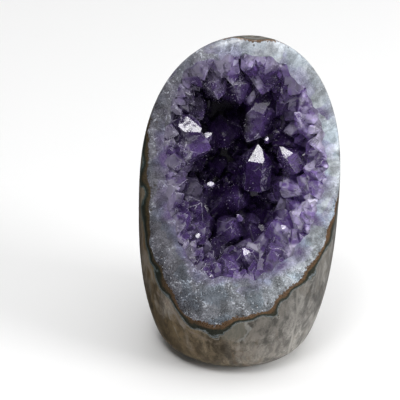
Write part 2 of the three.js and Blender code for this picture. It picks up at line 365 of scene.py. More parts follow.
def bed_level(points):
    """The bed's outline swells and draws in by a millimetre or so on its way round the face."""
    v = points - on_face(0, BED_MIDDLE, 0)
    around = np.arctan2(v @ UPSLOPE, v @ ACROSS)
    swell = add_waves(1, around, BED_WAVES)
    for place, amount, width in BED_BULGES:
        w = points - on_face(*place, 0)
        swell = swell + amount * np.exp(-((w * w).sum(axis=1)) / width ** 2)
    return egg_level(points, BED) / add_waves(swell, around, BED_RIPPLES)


def hollow_swell(around, share):
    """The hollow's size at an angle round the face, as a share of its egg's; share fades the bulges."""
    swell = 1
    for at, amount, width in HOLLOW_BULGES:
        away = np.arctan2(np.sin(around - at), np.cos(around - at))
        swell = swell + share * amount * np.exp(-((away / width) ** 2))
    return swell


def swollen_level(points, egg):
    v = points - middle_of(egg)
    across = v @ ACROSS
    upslope = v @ UPSLOPE
    share = np.hypot(across, upslope) / np.maximum(np.linalg.norm(v, axis=1), NEARLY_ZERO)
    return egg_level(points, egg) / hollow_swell(np.arctan2(upslope, across), share)


def hollow_level(points):
    return swollen_level(points, HOLLOW)


def roots_level(points):
    return swollen_level(points, ROOTS)


def wall_level(points):
    """The hollow, opened out towards the face, with a lumpy outline."""
    v = points - middle_of(HOLLOW)
    depth = np.abs(v @ OUTWARD)
    around = np.arctan2(v @ UPSLOPE, v @ ACROSS)
    lumps = add_waves(0, around, WALL_LUMPS) - DRAWN_IN * np.exp(-((around / DRAWN_IN_SPREAD) ** 2))
    return hollow_level(points) / (1 + (FLARE + lumps) * np.exp(-depth / FLARE_DEPTH))


def outside(level, points):
    """How far points lie outside the surface where level is 1, in metres, negative inside."""
    slope = np.zeros_like(points)
    for axis in range(3):
        shift = np.zeros(3)
        shift[axis] = PROBE_STEP
        slope[:, axis] = (level(points + shift) - level(points - shift)) / (2 * PROBE_STEP)
    steepness = np.maximum(np.linalg.norm(slope, axis=1), 1.0)
    return (level(points) - 1) / steepness


def depth_of(points):
    """How deep they lie below the front face, in metres."""
    return -((points - FACE_FOOT) @ OUTWARD)


def points_of(mesh):
    flat = np.zeros(len(mesh.vertices) * 3)
    mesh.vertices.foreach_get("co", flat)
    return flat.reshape(-1, 3)


def blob(subdivisions, centre, level):
    """A ball whose points are moved out from the centre to the surface where level is 1."""
    shape = bmesh.new()
    bmesh.ops.create_icosphere(shape, subdivisions=subdivisions, radius=1)
    ways = np.array([v.co.normalized() for v in shape.verts])
    inner = np.zeros(len(ways))
    outer = np.full(len(ways), SEARCH_REACH)
    for _ in range(SEARCH_STEPS):
        middle = (inner + outer) / 2
        within = level(centre + ways * middle[:, None]) < 1
        inner = np.where(within, middle, inner)
        outer = np.where(within, outer, middle)
    for vert, way, reach in zip(shape.verts, ways, inner):
        vert.co = Vector(centre + way * reach)
    return shape


def cut_off(shape, place, normal):
    """Cuts the shape flat through place, clears what lies along normal, and gives back the cut's edges."""
    everything = shape.verts[:] + shape.edges[:] + shape.faces[:]
    cut = bmesh.ops.bisect_plane(shape, geom=everything, plane_co=place, plane_no=normal, clear_outer=True)
    return [part for part in cut["geom_cut"] if isinstance(part, bmesh.types.BMEdge)]


def to_mesh(name, shape):
    mesh = bpy.data.meshes.new(name)
    shape.to_mesh(mesh)
    shape.free()
    return mesh


def joined(mesh, operation, tools):
    """The mesh joined with, cut by or kept inside the tools: UNION, DIFFERENCE or INTERSECT."""
    scene = bpy.context.scene
    holder = bpy.data.collections.new("tools")
    scene.collection.children.link(holder)
    body = bpy.data.objects.new("body", mesh)
    scene.collection.objects.link(body)
    for tool in tools:
        holder.objects.link(bpy.data.objects.new("tool", tool))
    cut = body.modifiers.new("cut", "BOOLEAN")
    cut.operation = operation
    cut.solver = "MANIFOLD"
    cut.operand_type = "COLLECTION"
    cut.collection = holder
    finished = body.evaluated_get(bpy.context.evaluated_depsgraph_get())
    result = bpy.data.meshes.new_from_object(finished)
    for spent in [body, *holder.objects]:
        bpy.data.objects.remove(spent)
    bpy.data.collections.remove(holder)
    return result


def whole_stone():
    shape = blob(FINE_BALL, WAIST, stone_level)
    sawn = cut_off(shape, Vector((0, 0, 0)), Vector((0, 0, -1)))
    bmesh.ops.holes_fill(shape, edges=sawn)
    bmesh.ops.bevel(shape, geom=sawn, offset=BASE_BEVEL, segments=2, profile=0.5, affect="EDGES", material=-1)
    return to_mesh("stone", shape)


def crystal(number, tip, points, half, long, facing=None, worn_and_highlit=True, paleness=None):
    """A quartz crystal: six uneven prism faces, and a point of three large and three small ones."""
    shape = bmesh.new()
    bmesh.ops.create_cube(shape, size=1)
    bmesh.ops.scale(shape, verts=shape.verts, vec=(4 * half, 4 * half, long + half))
    bmesh.ops.translate(shape, verts=shape.verts, vec=(0, 0, (half - long) / 2))
    for side in range(6):
        around = side * math.pi / 3
        prism = Vector((math.cos(around), math.sin(around), 0))
        ground(shape, prism, half * (1 + PRISM_UNEVEN * (chance(number, 11 + side) - 0.5)))
        point = prism * math.sin(POINT_SLOPE) + Vector((0, 0, math.cos(POINT_SLOPE)))
        small = POINT_STEP if side % 2 else 0
        ground(shape, point, half * (small + POINT_UNEVEN * chance(number, 18 + side)))
    bmesh.ops.recalc_face_normals(shape, faces=shape.faces)
    tone, frost, edge = (shape.faces.layers.float.new(name) for name in ("tone", "frost", "edge"))
    paleness = chance(number, 10) - 0.5 if paleness is None else paleness
    for k, face in enumerate(shape.faces):
        face[tone] = paleness
        face[frost] = chance(number, 30 + k)
    # Worn edges: a narrow bevel, whose faces the material whitens, partly as a painted highlight
    if worn_and_highlit:
        bevels = bmesh.ops.bevel(shape, geom=shape.edges[:], offset=half * WORN_EDGE, segments=1,
                                 profile=0.5, affect="EDGES", clamp_overlap=True, material=-1)
        for face in bevels["faces"]:
            face[tone] = paleness
            face[edge] = 1
    if facing is None:
        turn = standing(points, chances(number, 41) - 0.5)
        if half > TINY and mirrors_key(shape, turn):
            turn = turn @ Matrix.Rotation(TURNED_ASIDE, 4, "Z")
    else:
        turn = standing(points, facing)
    shape.transform(Matrix.Translation(Vector(tip)) @ turn)
    return to_mesh("crystal", shape)


def mirrors_key(shape, turn):
    shape.normal_update()
    spin = turn.to_3x3()
    return any((spin @ face.normal).angle(MIRROR, math.pi) < MIRRORS_WITHIN for face in shape.faces)


def standing(points, facing):
    """The turn that takes up to points, and the first face as far towards facing as it goes."""
    up = Vector(points).normalized()
    across = up.cross(Vector(facing)).normalized()
    return Matrix((across.cross(up), across, up)).transposed().to_4x4()


def ground(shape, normal, distance):
    """A flat face across normal, at that distance from the shape's origin."""
    rim = cut_off(shape, normal * distance, normal)
    if rim:
        bmesh.ops.edgeloop_fill(shape, edges=rim)


def in_face_axes(way):
    return unit(way[0] * ACROSS + way[1] * UPSLOPE + way[2] * OUTWARD)


def main_crystals():
    for i, (tip, points, half, long, paleness) in enumerate(MAIN_CRYSTALS):
        yield crystal(SPREAD_COUNT + i, on_face(*tip), in_face_axes(points), half, long, paleness=paleness)


def glinting_crystals():
    """Crystals with one face turned to mirror the key light, centred at the given place."""
    for i, (place, lean, half, paleness) in enumerate(GLINTS):
        side = Vector(in_face_axes(lean))
        side = (side - MIRROR * MIRROR.dot(side)).normalized()
        points = MIRROR * math.cos(POINT_SLOPE) + side * math.sin(POINT_SLOPE)
        down_face = MIRROR * math.sin(POINT_SLOPE) - side * math.cos(POINT_SLOPE)
        down_face = (down_face - MIRROR * MIRROR.dot(down_face)).normalized()
        tip = Vector(on_face(*place)) - down_face * half * GLINT_FROM_TIP
        long = half * GLINT_LENGTH
        yield crystal(GLINT_FIRST + i, tip, points, half, long, facing=MIRROR, paleness=paleness)


def hides_a_glint(tip, half):
    """Whether a crystal there would stand between the camera and one of those faces."""
    for place, _, size, _ in GLINTS:
        ahead = np.array(tip) - on_face(*place)
        along = ahead @ TO_CAMERA
        aside = np.linalg.norm(ahead - along * TO_CAMERA)
        if along > -half and aside < GLINT_CLEAR * size + 0.5 * half:
            return True
    return False


def is_near(tip, place, reach):
    return np.linalg.norm(np.array(tip) - on_face(*place)) < reach


def in_pocket(tip):
    return is_near(tip, POCKET_PLACE, POCKET_CLEAR)


def hollow_wall(i, count, stray):
    """Place i of count on a golden-angle spiral over the hollow, deepest first, and the way inwards."""
    height = 1 - (i + 0.5) / count
    ring = math.sqrt(max(0, 1 - height * height))
    around = i * GOLDEN_ANGLE + stray * (chance(i, 5) - 0.5)
    across = math.cos(around) * HOLLOW["half"]
    upslope = math.sin(around) * HOLLOW["up"]
    size = ring * hollow_swell(math.atan2(upslope, across), ring)
    way = size * across * ACROSS + (size * upslope - HOLLOW["sink"] * height * HOLLOW["depth"]) * UPSLOPE
    way = way - height * HOLLOW["depth"] * OUTWARD
    return middle_of(HOLLOW) + way, -unit(way)


def slanted(inward, i, slant):
    return unit(inward + slant * (chances(i, 6) - 0.5))


def spread_crystals():
    for i in range(SPREAD_COUNT):
        foot, inward = hollow_wall(i, SPREAD_COUNT, SPREAD_STRAY)
        points = slanted(inward, i, SPREAD_SLANT)
        half = SPREAD_HALF * (1 + SPREAD_RANGE * (chance(i, 9) - 0.5))
        half = min(half, max(RIM_HALF[0], SPREAD_SINK * depth_of(foot) + CUT_BY * chance(i, 12)))
        rise = TIP_RISE * half
        tip = foot + points * rise
        if not hides_a_glint(tip, half) and not in_pocket(tip):
            yield crystal(i, tip, points, half, rise + ROOT)


def rim_crystals():
    """Crystals round the hollow's edge, most of them leaning out, which the ground face cuts through."""
    for i in range(RIM_COUNT):
        number = RIM_FIRST + i
        around = 2 * math.pi * (i + RIM_STRAY * chance(number, 5)) / RIM_COUNT
        across = math.cos(around) * HOLLOW["half"]
        upslope = math.sin(around) * HOLLOW["up"]
        outward = (across * ACROSS + upslope * UPSLOPE) * hollow_swell(math.atan2(upslope, across), 1)
        points = -unit(outward) + OUTWARD * RIM_LEAN * (chance(number, 6) - 0.2)
        points = unit(points + UPSLOPE * RIM_LEAN * (chance(number, 7) - 0.5))
        half = part_way(RIM_HALF, chance(number, 9))
        deep = half * (RIM_SUNK[0] + RIM_SUNK[1] * chance(number, 8))
        rise = half * (RIM_RISE[0] + RIM_RISE[1] * chance(number, 11))
        foot = on_face(HOLLOW["across"], HOLLOW["upslope"], deep) + outward
        tip = foot + points * rise
        if not hides_a_glint(tip, half):
            yield crystal(number, tip, points, half, rise + ROOT)


def satellite_crystals():
    """Smaller crystals that stand out of the named ones, nearly parallel to them."""
    for i, (tip, points, half, _, paleness) in enumerate(MAIN_CRYSTALS):
        axis = in_face_axes(points)
        side = unit(np.cross(axis, UPSLOPE if abs(axis @ UPSLOPE) < NEARLY_PARALLEL else ACROSS))
        other = np.cross(axis, side)
        for k in range(SATELLITES):
            number = SATELLITE_FIRST + i * SATELLITES + k
            around = 2 * math.pi * (k + SATELLITE_STRAY * chance(number, 5)) / SATELLITES
            reach = half * part_way(SATELLITE_REACH, chance(number, 6))
            own = half * part_way(SATELLITE_HALF, chance(number, 9))
            drop = reach * POINT_HEIGHT + own * (SATELLITE_DROP * chance(number, 7) - 0.5)
            aside = side * math.cos(around) + other * math.sin(around)
            place = on_face(*tip) - axis * drop + aside * reach
            way = slanted(axis, number, SATELLITE_SLANT)
            if not hides_a_glint(place, own):
                yield crystal(number, place, way, own, own * SATELLITE_LENGTH, paleness=paleness)


def small_crystals():
    for i in range(SMALL_COUNT):
        number = SMALL_FIRST + i
        foot, inward = hollow_wall(i, SMALL_COUNT, SMALL_STRAY)
        points = slanted(inward, number, SMALL_SLANT)
        half = part_way(SMALL_HALF, chance(number, 9) ** 2)
        rise = part_way(SMALL_RISE, chance(number, 11)) + half
        paleness = None
        # In the pocket the crystals are low, and their tone darkened as painted shade
        if in_pocket(foot + inward * rise):
            rise = POCKET_RISE * half
            paleness = POCKET_SHADED_PALENESS
        tip = foot + inward * rise
        if not hides_a_glint(tip, half) and not is_near(tip, LOW_PLACE, LOW_CLEAR):
            yield crystal(number, tip, points, half, rise + half, worn_and_highlit=False, paleness=paleness)


def strewn_places(mesh):
    """Places drawn evenly over the mesh, in the hollow and below the cut, with their faces' normals."""
    mesh.calc_loop_triangles()
    points = points_of(mesh)
    corners = np.array([t.vertices[:] for t in mesh.loop_triangles])
    a, b, c = (points[corners[:, k]] for k in range(3))
    normals = np.cross(b - a, c - a)
    area = np.linalg.norm(normals, axis=1)
    draw = np.random.default_rng(GRAIN_SEED)
    picked = draw.choice(len(area), size=GRAIN_COUNT * GRAIN_DRAWS, p=area / area.sum())
    u = np.sqrt(draw.random(len(picked)))[:, None]
    v = draw.random(len(picked))[:, None]
    places = a[picked] * (1 - u) + b[picked] * u * (1 - v) + c[picked] * u * v
    kept = (hollow_level(places) < 1) & (depth_of(places) > GRAIN_DEPTH)
    return zip(places[kept], normals[picked[kept]])


def quartz_grains(crystals):
    """Tiny points of quartz on the crystals' faces, in patches, as one mesh."""
    grains = bmesh.new()
    left = GRAIN_COUNT
    for number, (place, normal) in enumerate(strewn_places(crystals.copy())):
        crowd = mathutils.noise.noise(Vector(place) / GRAIN_PATCH)
        if left == 0 or (crowd < GRAIN_CROWD and chance(number, 31) > GRAIN_SHARE):
            continue
        left -= 1
        half = part_way(GRAIN_HALF, chance(number, 32) ** 2)
        tilt = Vector(chances(number, 33)) - Vector((0.5, 0.5, 0.5))
        way = Vector(normal).normalized() + tilt * GRAIN_TILT
        turn = Vector((0, 0, 1)).rotation_difference(way).to_matrix().to_4x4()
        grain = bmesh.new()
        bmesh.ops.create_cone(grain, cap_ends=True, segments=GRAIN_SIDES, radius1=half,
                              radius2=half * GRAIN_TOP, depth=half * GRAIN_LENGTH)
        grain.transform(Matrix.Translation(Vector(place)) @ turn)
        spent = to_mesh("grain", grain)
        grains.from_mesh(spent)
        bpy.data.meshes.remove(spent)
    return to_mesh("grains", grains)


# Materials: each helper adds one or a few nodes and gives back the output, for the next one to take

def make(tree, kind, sockets=None, **settings):
    """One node: its settings, then its sockets, each given a number, a colour or another node's output."""
    node = tree.nodes.new(kind)
    for key, value in settings.items():
        setattr(node, key, value)
    feed(node, sockets or {})
    return node


def feed(node, sockets):
    for key, value in sockets.items():
        if isinstance(value, bpy.types.NodeSocket):
            node.id_data.links.new(value, node.inputs[key])
        else:
            node.inputs[key].default_value = value


def blank_material(name):
    material = bpy.data.materials.new(name)
    material.use_nodes = True
    tree = material.node_tree
    return material, tree, tree.nodes["Principled BSDF"]


def object_place(tree):
    return make(tree, "ShaderNodeTexCoord").outputs["Object"]


def attributes(tree, *names):
    """The numbers laid on the mesh under these names."""
    return [make(tree, "ShaderNodeAttribute", attribute_name=name).outputs["Fac"] for name in names]


def reckon(operation, a, b=0.0):
    return make(a.id_data, "ShaderNodeMath", {0: a, 1: b}, operation=operation).outputs[0]


def plus(first, *others):
    for other in others:
        first = reckon("ADD", first, other)
    return first


def minus(a, b):
    return reckon("SUBTRACT", a, b)


def times(first, *others):
    for other in others:
        first = reckon("MULTIPLY", first, other)
    return first


def vector(operation, *values, output=0, **sockets):
    """A vector operation, in the tree of the first value that comes from a node."""
    sockets.update(enumerate(values))
    tree = next(value.id_data for value in sockets.values() if isinstance(value, bpy.types.NodeSocket))
    return make(tree, "ShaderNodeVectorMath", sockets, operation=operation).outputs[output]


def axes_of(place):
    """A place's X, Y and Z."""
    return make(place.id_data, "ShaderNodeSeparateXYZ", {"Vector": place}).outputs


def noise(place, scale, detail=3.0, rough=0.5, distortion=0.0, output="Fac"):
    sockets = {"Vector": place, "Scale": scale, "Detail": detail}
    sockets.update({"Roughness": rough, "Distortion": distortion})
    return make(place.id_data, "ShaderNodeTexNoise", sockets).outputs[output]


def uneven(place, scale, amount, detail=2.0):
    """A noise from minus to plus half of amount."""
    return times(minus(noise(place, scale, detail), 0.5), amount)


def cells(place, scale, feature="F1", output="Distance"):
    sockets = {"Vector": place, "Scale": scale}
    return make(place.id_data, "ShaderNodeTexVoronoi", sockets, feature=feature).outputs[output]


def cell_edges(place, scale):
    return cells(place, scale, "DISTANCE_TO_EDGE")


def stretched(place, scale, turn=(0, 0, 0)):
    sockets = {"Vector": place, "Rotation": turn, "Scale": scale}
    return make(place.id_data, "ShaderNodeMapping", sockets).outputs[0]


def wandering(place, scale, amount):
    """The place moved about by a slow noise, so that lines on it wander."""
    drift = vector("SUBTRACT", noise(place, scale, 2, output="Color"), (0.5, 0.5, 0.5))
    return vector("ADD", place, vector("SCALE", drift, Scale=amount))


def between(value, low, high, out_low=0.0, out_high=1.0):
    """value taken from low..high to out_low..out_high, smoothly, and held at the ends."""
    sockets = {"Value": value, "From Min": low, "From Max": high, "To Min": out_low, "To Max": out_high}
    node = make(value.id_data, "ShaderNodeMapRange", sockets, interpolation_type="SMOOTHSTEP")
    return node.outputs["Result"]


def left_to_right(place, low=-0.034, high=0.034):
    return between(axes_of(place)["X"], low, high)


def opaque(colour):
    """A colour with its alpha of 1, or the output that gives one."""
    return colour if isinstance(colour, bpy.types.NodeSocket) else (*colour, 1)


def blend(factor, a, b):
    """Colour a where factor is 0 and b where it is 1."""
    sockets = {"Factor": factor, 6: opaque(a), 7: opaque(b)}
    return make(factor.id_data, "ShaderNodeMix", sockets, data_type="RGBA").outputs[2]


def marked(colour, mark, *masks):
    """The mark's colour laid on the other where all the masks are 1."""
    return blend(times(*masks), colour, mark)


def tinted(factor, colour, tint):
    """The colour where factor is 0, and the colour times the tint where it is 1."""
    return blend(factor, colour, vector("MULTIPLY", colour, tint))


def scaled_by(colour, factor, low, high):
    """The colour times low where factor is 0, and times high where it is 1."""
    return vector("SCALE", colour, Scale=between(factor, 0.0, 1.0, low, high))


def shaded(colour, value, span, strengths):
    """The colour times the first strength at the start of value's span, and times the second at its end."""
    return scaled_by(colour, between(value, *span), *strengths)


def ramp(value, stops):
    node = make(value.id_data, "ShaderNodeValToRGB", {"Fac": value})
    marks = node.color_ramp.elements
    while len(marks) < len(stops):
        marks.new(1)
    for mark, (at, colour) in zip(marks, stops):
        mark.position = at
        mark.color = opaque(colour)
    return node.outputs["Color"]


def bumped(height, distance, strength):
    sockets = {"Height": height, "Distance": distance, "Strength": strength}
    return make(height.id_data, "ShaderNodeBump", sockets).outputs["Normal"]


# The rock's colour from its left to its right, darker and browner on the left partly as painted shade, and of
# the marks in it
ROCK_AND_SHADE_ACROSS = [
    (0.0, (0.098, 0.069, 0.034)),
    (0.3, (0.14, 0.11, 0.072)),
    (0.65, (0.142, 0.13, 0.112)),
    (1.0, (0.255, 0.245, 0.228)),
]
DARK_ROCK = (0.07, 0.052, 0.03)
PALE_ROCK = (0.245, 0.228, 0.205)
RUSTY_ROCK = (0.13, 0.078, 0.036)
LOOP_LINE = (0.26, 0.235, 0.205)
PALE_VEIN = (0.34, 0.32, 0.285)

# Single marks on its front: a healed crack on the right, and a lobe of chalcedony low down
CRACK_PLACE = 0.0205
CRACK_SLANT = 0.06
HEALED_CRACK = (0.42, 0.4, 0.365)
LOBE_PLACE = (-0.0015, -0.0305, 0.0252)
LOBE_HALF = 0.007
LOBE = (0.175, 0.17, 0.142)
LOBE_EDGE = (0.42, 0.43, 0.41)

# Agate lines round the quartz, by their distance outside it, and a paler one that repeats them further out
RUST = (0.098, 0.055, 0.027)
OLIVE_RUST = (0.06, 0.04, 0.018)
DARK_AGATE = (0.026, 0.028, 0.02)
BLUE_AGATE = (0.12, 0.137, 0.14)
PALE_AGATE = (0.24, 0.24, 0.22)
AGATE_LINES = [
    (0.0003, RUST),
    (0.0007, RUST),
    (0.001, OLIVE_RUST),
    (0.0014, DARK_AGATE),
    (0.0022, DARK_AGATE),
    (0.0024, BLUE_AGATE),
    (0.0028, BLUE_AGATE),
    (0.003, OLIVE_RUST),
    (0.0032, PALE_AGATE),
]
RIM_SPAN = (-0.003, 0.006)
ECHO_AGATE = (0.21, 0.165, 0.135)
OLIVE_TINT = (0.5, 0.62, 0.62)


def healed_crack(place):
    """A thin pale crack that runs up the right of the front."""
    axes = axes_of(wandering(place, 60, 0.004))
    slant = minus(axes["X"], times(axes["Z"], CRACK_SLANT))
    aside = reckon("ABSOLUTE", minus(slant, CRACK_PLACE))
    thin = between(aside, 0.0007, 0.0001, 0, 0.6)
    return times(thin, between(axes["Y"], 0.0, -0.008), between(axes["Z"], 0.046, 0.034))


def pale_lobe(place):
    """A lobed patch low on the front: where its middle is, and where its lighter edge."""
    wandered = wandering(wandering(place, 160, 0.006), 700, 0.0016)
    away = vector("DISTANCE", wandered, LOBE_PLACE, output=1)
    inside = between(away, LOBE_HALF, LOBE_HALF - 0.002, 0, 0.55)
    edge = times(between(away, LOBE_HALF + 0.0003, LOBE_HALF - 0.0001),
                 between(away, LOBE_HALF - 0.0012, LOBE_HALF - 0.0004),
                 between(axes_of(place)["X"], LOBE_PLACE[0] - 0.001, LOBE_PLACE[0] + 0.004, 0, 0.35))
    return inside, edge


def left_stain(place, height):
    """Up the left edge the band turns from rust to a dark olive."""
    return times(left_to_right(place, -0.012, -0.028), between(height, 0.03, 0.05))


def among_agate(place, side, height, rim, deep):
    """How far out a place lies among the agate lines, which are uneven and narrow at the top and back."""
    width = times(between(noise(place, 110, 3), 0.34, 0.66, 0.75, 2.1),
                  between(height, 0.09, 0.112, 1.0, 2.6),
                  between(side, 0.1, 0.34, 0.85, 1.0))
    thinner = times(between(deep, 0.002, 0.011, 0.0, 0.003), left_to_right(place, -0.008, -0.026))
    return plus(times(rim, width), between(deep, 0.005, 0.02, 0.0, 0.0042), thinner,
                uneven(place, 300, 0.0012), uneven(place, 1100, 0.0006))


def rock_material():
    material, tree, shader = blank_material("polished_rock")
    place = object_place(tree)
    rim, deep = attributes(tree, "rim", "deep")
    side = left_to_right(place)
    height = axes_of(place)["Z"]

    # Broad patches, then upright streaks and hairs, rusty clouds and a fine grain
    upright = stretched(place, (1, 1, 0.5))
    flowing = wandering(upright, 55, 0.022)
    broad = noise(flowing, 62, 4, 0.6)
    # Across, the rock is darker on the left, partly painted shade
    body = marked(ramp(side, ROCK_AND_SHADE_ACROSS), DARK_ROCK, between(broad, 0.46, 0.34, 0, 0.65))
    body = marked(body, PALE_ROCK, between(broad, 0.52, 0.68, 0, 0.5))
    streaks = noise(wandering(upright, 90, 0.012), 200, 5, 0.65)
    body = shaded(body, streaks, (0.32, 0.68), (0.62, 1.44))
    hairs = noise(wandering(upright, 200, 0.006), 620, 4, 0.7, 0.5)
    body = shaded(body, hairs, (0.36, 0.64), (0.82, 1.2))
    rusty = noise(flowing, 120, 3, 0.6, 0.6)
    body = marked(body, RUSTY_ROCK, between(rusty, 0.54, 0.7, 0, 0.45))
    grain = noise(place, 1500, 4, 0.75)
    body = shaded(body, grain, (0.3, 0.7), (0.86, 1.16))

    # Single lines and patches. The rock is darker higher up, but for its left, and paler at the very foot
    loops = noise(wandering(upright, 75, 0.012), 52, 1, 0.4)
    body = marked(body, LOOP_LINE, between(loops, 0.55, 0.58), between(loops, 0.62, 0.584),
                  between(streaks, 0.4, 0.62, 0.0, 0.7))
    veins = cell_edges(wandering(upright, 55, 0.02), 24)
    body = marked(body, PALE_VEIN, between(veins, 0.01, 0.0, 0, 0.5), between(rusty, 0.5, 0.58))
    body = marked(body, HEALED_CRACK, healed_crack(place))
    darker = times(between(height, 0.012, 0.031), between(side, 0.22, 0.42))
    body = scaled_by(body, darker, 1.0, 0.62)
    body = shaded(body, height, (0.014, 0.002), (1.0, 1.35))
    lobe, lobe_edge = pale_lobe(place)
    body = marked(body, LOBE, lobe)
    body = marked(body, LOBE_EDGE, lobe_edge)

    # The agate lines, and the paler one that repeats them on the left
    out = among_agate(place, side, height, rim, deep)
    span = RIM_SPAN[1] - RIM_SPAN[0]
    at = reckon("DIVIDE", minus(out, RIM_SPAN[0]), span)
    agate = ramp(at, [((metres - RIM_SPAN[0]) / span, colour) for metres, colour in AGATE_LINES])
    agate = shaded(agate, grain, (0.3, 0.7), (0.6, 1.45))
    agate = tinted(left_stain(place, height), agate, OLIVE_TINT)
    body = marked(body, ECHO_AGATE, between(out, 0.0056, 0.0062), between(out, 0.0078, 0.0066),
                  between(side, 0.5, 0.15, 0.0, 0.7), between(streaks, 0.36, 0.5))
    colour = blend(between(out, 0.003, 0.0036), agate, body)
    feed(shader, {"Base Color": colour, "Roughness": between(grain, 0.3, 0.8, 0.3, 0.5),
                  "Specular IOR Level": 0.35, "Coat Weight": 0.22, "Coat Roughness": 0.12,
                  "Normal": bumped(broad, 0.0006, 0.2)})
    return material


# Patches where the violet is richer and reaches out further: place on the face, half width
RICH_PATCHES = [
    ((-0.009, -0.0215), 0.0115),
    ((0.006, -0.016), 0.014),
    ((0.0125, 0.044), 0.0105),
    ((-0.0235, 0.0185), 0.0065),
    ((-0.0215, -0.0005), 0.0055),
    ((-0.018, -0.01), 0.006),
    ((0.0265, 0.018), 0.0045),
    ((0.024, 0.008), 0.005),
    ((0.019, -0.009), 0.006),
]

# The quartz wall: its white and grey, partly painted light on the right and painted shade on the left, the
# marks in them, and the violet where it nears the hollow
WHITE_AND_LIT_QUARTZ = (0.37, 0.4, 0.43)
GREY_AND_SHADED_QUARTZ = (0.112, 0.11, 0.13)
BLUE_TINT = (0.86, 0.97, 1.04)
LAVENDER_TINT = (0.9, 0.85, 1.02)
NEEDLE = (0.62, 0.65, 0.72)
PAINTED_SPARKLE = (0.62, 0.64, 0.7)
PIT = (0.035, 0.025, 0.018)
PALE_VEIL = (0.34, 0.35, 0.4)
VIOLET = (0.078, 0.048, 0.14)
VIOLET_SPECK = (0.16, 0.13, 0.23)
DEEP_VIOLET_AND_SHADE = (0.006, 0.003, 0.014)
QUARTZ_IOR = 1.54

# Its columns point outwards: how far apart they are round the face's middle, and how drawn out
FAN_RADIUS = 0.035
FAN_STRETCH = 0.14


def rich_patches(place):
    """From 0 outside the rich patches to 1 in their middles."""
    reach = 0.0
    for centre, half in RICH_PATCHES:
        away = vector("DISTANCE", place, tuple(on_face(*centre, 0)), output=1)
        reach = reckon("MAXIMUM", between(away, half, 0.5 * half), reach)
    return reach


def fan_place(place):
    """A place that turns with the way from the face's middle, for columns that point outwards."""
    v = vector("SUBTRACT", place, tuple(on_face(0, HOLLOW["upslope"], 0)))
    across = vector("DOT_PRODUCT", v, tuple(ACROSS), output=1)
    upslope = vector("DOT_PRODUCT", v, tuple(UPSLOPE), output=1)
    flat = make(place.id_data, "ShaderNodeCombineXYZ", {"X": across, "Y": upslope}).outputs[0]
    way = vector("SCALE", vector("NORMALIZE", flat), Scale=FAN_RADIUS)
    along = times(vector("LENGTH", flat, output=1), FAN_STRETCH)
    return vector("ADD", way, make(place.id_data, "ShaderNodeCombineXYZ", {"Z": along}).outputs[0])


def white_quartz(place, height, rim, lumps, fine):
    """The wall's colour, partly painted light and shade, with columns, needles, veils and painted sparks, and
    sugary and pitted near the rim.
    """
    # Grey on the left to white on the right, partly its own tone and partly painted shade and light, with
    # columns, and lumps that fade high up
    white = blend(left_to_right(place, -0.03, 0.036), GREY_AND_SHADED_QUARTZ, WHITE_AND_LIT_QUARTZ)
    # Painted shade low down and at the far right, and shading by height near the top
    white = shaded(white, height, (0.038, 0.064), (0.72, 1.04))
    white = shaded(white, axes_of(place)["X"], (0.02, 0.034), (1.0, 0.8))
    white = shaded(white, height, (0.092, 0.108), (1.0, 0.92))
    white = shaded(white, height, (0.113, 0.121), (1.0, 1.4))
    columns = noise(fan_place(place), 300, 3, 0.6, 0.3)
    white = shaded(white, columns, (0.32, 0.68), (0.74, 1.24))
    mottled = between(height, 0.104, 0.084, 0.25, 1.0)
    white = blend(mottled, white, shaded(white, lumps, (0.32, 0.68), (0.8, 1.2)))
    soft = noise(wandering(place, 200, 0.003), 420, 2, 0.5)
    white = shaded(white, soft, (0.3, 0.7), (0.76, 1.18))
    rounded = cells(wandering(place, 200, 0.004), 240)
    white = blend(mottled, white, shaded(white, rounded, (0.15, 0.75), (0.82, 1.2)))

    # Sugary grain, needles, bluish patches, veils, painted sparkle and pits
    sugary = reckon("MAXIMUM", between(rim, -0.007, -0.001), between(noise(place, 95, 2), 0.5, 0.62))
    sugary = times(sugary, between(height, 0.044, 0.066, 1.0, 0.3))
    plain = shaded(white, fine, (0.3, 0.72), (0.95, 1.07))
    sugar = shaded(white, fine, (0.34, 0.66), (0.7, 1.28))
    white = blend(sugary, plain, sugar)
    needles = noise(wandering(place, 240, 0.006), 800, 3, 0.6, 0.7)
    white = marked(white, NEEDLE, between(needles, 0.56, 0.63, 0, 0.65), between(lumps, 0.44, 0.58))
    bluish = between(noise(place, 130, 2), 0.48, 0.6, 0, 0.8)
    bluish = times(bluish, between(height, 0.104, 0.084, 0.4, 1.0))
    white = tinted(bluish, white, BLUE_TINT)
    veils = cell_edges(wandering(place, 260, 0.006), 85)
    white = marked(white, PALE_VEIL, between(veils, 0.03, 0.0, 0, 0.4), between(lumps, 0.5, 0.6))
    # Painted sparkle: bright specks where the quartz is sugary
    white = marked(white, PAINTED_SPARKLE, between(cells(place, 620), 0.2, 0.1, 0, 0.8), sugary)
    return marked(white, PIT, between(cells(place, 420), 0.24, 0.14, 0, 0.8), between(rim, -0.006, -0.001))


